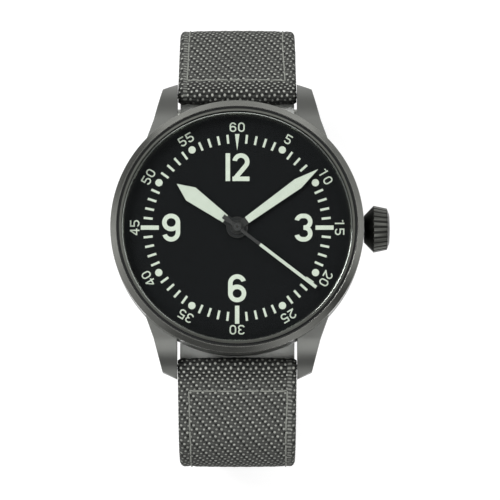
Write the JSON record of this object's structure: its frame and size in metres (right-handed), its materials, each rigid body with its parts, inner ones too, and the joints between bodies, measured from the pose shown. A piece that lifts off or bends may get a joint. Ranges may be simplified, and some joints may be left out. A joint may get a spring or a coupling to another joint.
{
  "type": "pilot watch",
  "caption": "Wristwatch with a round grey case, black dial with luminous numerals, three centre hands, an onion crown, a woven strap with pin buckle and an automatic movement.",
  "frame": {"origin": "centre of the back crystal's outer face", "axes": "+Z out of the dial towards the wearer's eye, +Y towards 12 o'clock, +X towards the crown"},
  "size_m": [0.0464, 0.0766, 0.0724],
  "materials": {
    "case_metal": "grey coated steel, bead-blasted",
    "bezel_metal": "grey coated steel, circular brushed",
    "crown_metal": "dark grey coated steel",
    "polished_steel": "polished steel",
    "sapphire": "clear sapphire",
    "gasket_rubber": "black nitrile rubber",
    "dial_black": "matte black lacquer",
    "lume": "pale green luminous paint",
    "print_lume": "pale green luminous print",
    "hand_metal": "dark grey satin lacquer",
    "plate_nickel": "nickel-plated brass",
    "gilt_brass": "gilt brass",
    "movement_steel": "polished and hardened steel",
    "blued_steel": "heat-blued steel",
    "ruby": "synthetic ruby",
    "holder_plastic": "moulded acetal",
    "strap_weave": "dark grey woven yarn with light flecks",
    "strap_lining": "grey lining leather",
    "buckle_metal": "grey coated steel, bead-blasted"
  },
  "bodies": {
    "case": {"case_middle": "case_metal", "bezel": "bezel_metal", "rehaut_ring": "polished_steel", "crystal": "sapphire", "crystal_gasket": "gasket_rubber", "case_back": "case_metal", "back_crystal": "sapphire", "case_back_gasket": "gasket_rubber", "crown_tube": "movement_steel", "spring_bar_12": "movement_steel", "spring_bar_6": "movement_steel", "movement_ring": "holder_plastic", "casing_clamps": "movement_steel", "main_plate": "plate_nickel", "barrel_bridge": "plate_nickel", "train_bridge": "plate_nickel", "balance_cock": "plate_nickel", "automatic_bridge": "plate_nickel", "movement_screws": "blued_steel", "jewels": "ruby", "rotor_bearing": "movement_steel", "dial": "dial_black", "dial_numerals": "print_lume", "dial_minute_track": "print_lume", "dial_minute_numerals": "print_lume"},
    "seconds": {"fourth_wheel": "gilt_brass", "second_hand": "hand_metal", "second_hand_lume": "lume"},
    "minutes": {"centre_wheel": "gilt_brass", "cannon_pinion": "movement_steel", "minute_hand": "hand_metal", "minute_hand_lume": "lume"},
    "hours": {"hour_wheel": "gilt_brass", "hour_hand": "hand_metal", "hour_hand_lume": "lume"},
    "minute_work": {"minute_wheel": "gilt_brass"},
    "third": {"third_wheel": "gilt_brass"},
    "escape": {"escape_wheel": "movement_steel"},
    "barrel": {"barrel_drum": "gilt_brass", "mainspring": "movement_steel"},
    "pallets": {"pallet_fork": "movement_steel"},
    "balance": {"balance_wheel": "gilt_brass", "hairspring": "movement_steel"},
    "winding": {"winding_pinion": "movement_steel"},
    "crown_and_stem": {"crown": "crown_metal", "winding_stem": "movement_steel"},
    "sliding": {"sliding_pinion": "movement_steel"},
    "crown_gear": {"crown_wheel": "movement_steel"},
    "ratchet": {"ratchet_wheel": "movement_steel"},
    "lever": {"setting_lever": "movement_steel"},
    "winding_rotor": {"rotor": "plate_nickel"},
    "strap_12": {"strap_12_outer": "strap_weave", "strap_12_lining": "strap_lining", "keeper_fixed": "strap_weave"},
    "strap_6": {"strap_6_outer": "strap_weave", "strap_6_lining": "strap_lining"},
    "buckle": {"buckle_frame": "buckle_metal", "buckle_bar": "movement_steel"},
    "tongue": {"buckle_tongue": "buckle_metal"},
    "free_keeper": {"keeper_free": "strap_weave"}
  },
  "joints": [
    {"name": "seconds_spin", "type": "hinge", "parent": "case", "child": "seconds", "pos_m": [0, 0, 0.005], "axis": [0, 0, -1], "continuous": true},
    {"name": "minutes_spin", "type": "hinge", "parent": "case", "child": "minutes", "pos_m": [0, 0, 0.005], "axis": [0, 0, -1], "continuous": true},
    {"name": "hours_spin", "type": "hinge", "parent": "case", "child": "hours", "pos_m": [0, 0, 0.005], "axis": [0, 0, -1], "continuous": true},
    {"name": "minute_wheel_spin", "type": "hinge", "parent": "case", "child": "minute_work", "pos_m": [-0.0018, -0.00312, 0.005], "axis": [0, 0, -1], "continuous": true},
    {"name": "third_wheel_spin", "type": "hinge", "parent": "case", "child": "third", "pos_m": [0.002, -0.00346, 0.005], "axis": [0, 0, -1], "continuous": true},
    {"name": "escape_wheel_spin", "type": "hinge", "parent": "case", "child": "escape", "pos_m": [-0.00389, -0.00034, 0.005], "axis": [0, 0, -1], "continuous": true},
    {"name": "barrel_spin", "type": "hinge", "parent": "case", "child": "barrel", "pos_m": [0.00335, 0.00557, 0.005], "axis": [0, 0, -1], "continuous": true},
    {"name": "pallet_rock", "type": "hinge", "parent": "case", "child": "pallets", "pos_m": [-0.00414, -0.00268, 0.0039], "axis": [0, 0, 1], "range_deg": [-5, 5]},
    {"name": "balance_swing", "type": "hinge", "parent": "case", "child": "balance", "pos_m": [-0.0046, -0.00655, 0.0049], "axis": [0, 0, 1], "range_deg": [-270, 270], "stiffness_Nm_per_rad": 0.0000003, "deforming": ["hairspring"]},
    {"name": "crown_spin", "type": "hinge", "parent": "case", "child": "winding", "pos_m": [0.0096, 0, 0.005], "axis": [1, 0, 0], "continuous": true},
    {"name": "crown_pull", "type": "slide", "parent": "winding", "child": "crown_and_stem", "axis": [1, 0, 0], "range_m": [0, 0.001]},
    {"name": "sliding_pinion_shift", "type": "slide", "parent": "winding", "child": "sliding", "axis": [1, 0, 0], "range_m": [-0.0003, 0]},
    {"name": "setting_lever_swing", "type": "hinge", "parent": "case", "child": "lever", "pos_m": [0.01115, -0.00319, 0.006], "axis": [0, 0, -1], "range_deg": [0, 18.5]},
    {"name": "crown_wheel_spin", "type": "hinge", "parent": "case", "child": "crown_gear", "pos_m": [0.0067, 0, 0.005], "axis": [0, 0, 1], "continuous": true},
    {"name": "ratchet_wheel_spin", "type": "hinge", "parent": "case", "child": "ratchet", "pos_m": [0.00335, 0.00557, 0.005], "axis": [0, 0, 1], "continuous": true},
    {"name": "rotor_spin", "type": "hinge", "parent": "case", "child": "winding_rotor", "pos_m": [0, 0, 0.005], "axis": [0, 0, -1], "continuous": true},
    {"name": "strap_12_swing", "type": "hinge", "parent": "case", "child": "strap_12", "pos_m": [0, 0.0228, 0.002], "axis": [1, 0, 0], "range_deg": [-5, 75]},
    {"name": "strap_6_swing", "type": "hinge", "parent": "case", "child": "strap_6", "pos_m": [0, -0.0228, 0.002], "axis": [1, 0, 0], "range_deg": [-75, 5]},
    {"name": "buckle_swing", "type": "hinge", "parent": "strap_12", "child": "buckle", "pos_m": [0, 0.02647, -0.05238], "axis": [1, 0, 0], "range_deg": [-45, 35]},
    {"name": "tongue_swing", "type": "hinge", "parent": "buckle", "child": "tongue", "pos_m": [0, 0.02647, -0.05238], "axis": [1, 0, 0], "range_deg": [0, 90]},
    {"name": "keeper_slide", "type": "slide", "parent": "strap_12", "child": "free_keeper", "axis": [0, 0, 1], "range_m": [-0.0015, 0.0065]}
  ],
  "couplings": [
    {"joint": "minutes_spin", "follows": "seconds_spin", "ratio": 0.016667},
    {"joint": "hours_spin", "follows": "seconds_spin", "ratio": 0.0013889},
    {"joint": "minute_wheel_spin", "follows": "seconds_spin", "ratio": -0.0055556},
    {"joint": "third_wheel_spin", "follows": "seconds_spin", "ratio": -0.13333},
    {"joint": "escape_wheel_spin", "follows": "seconds_spin", "ratio": -12},
    {"joint": "barrel_spin", "follows": "seconds_spin", "ratio": -0.0027778},
    {"joint": "crown_wheel_spin", "follows": "crown_spin", "ratio": 0.57692},
    {"joint": "ratchet_wheel_spin", "follows": "crown_spin", "ratio": -0.38462},
    {"joint": "sliding_pinion_shift", "follows": "crown_pull", "ratio": -0.25},
    {"joint": "setting_lever_swing", "follows": "crown_pull", "rad_per_m": 312.5}
  ]
}
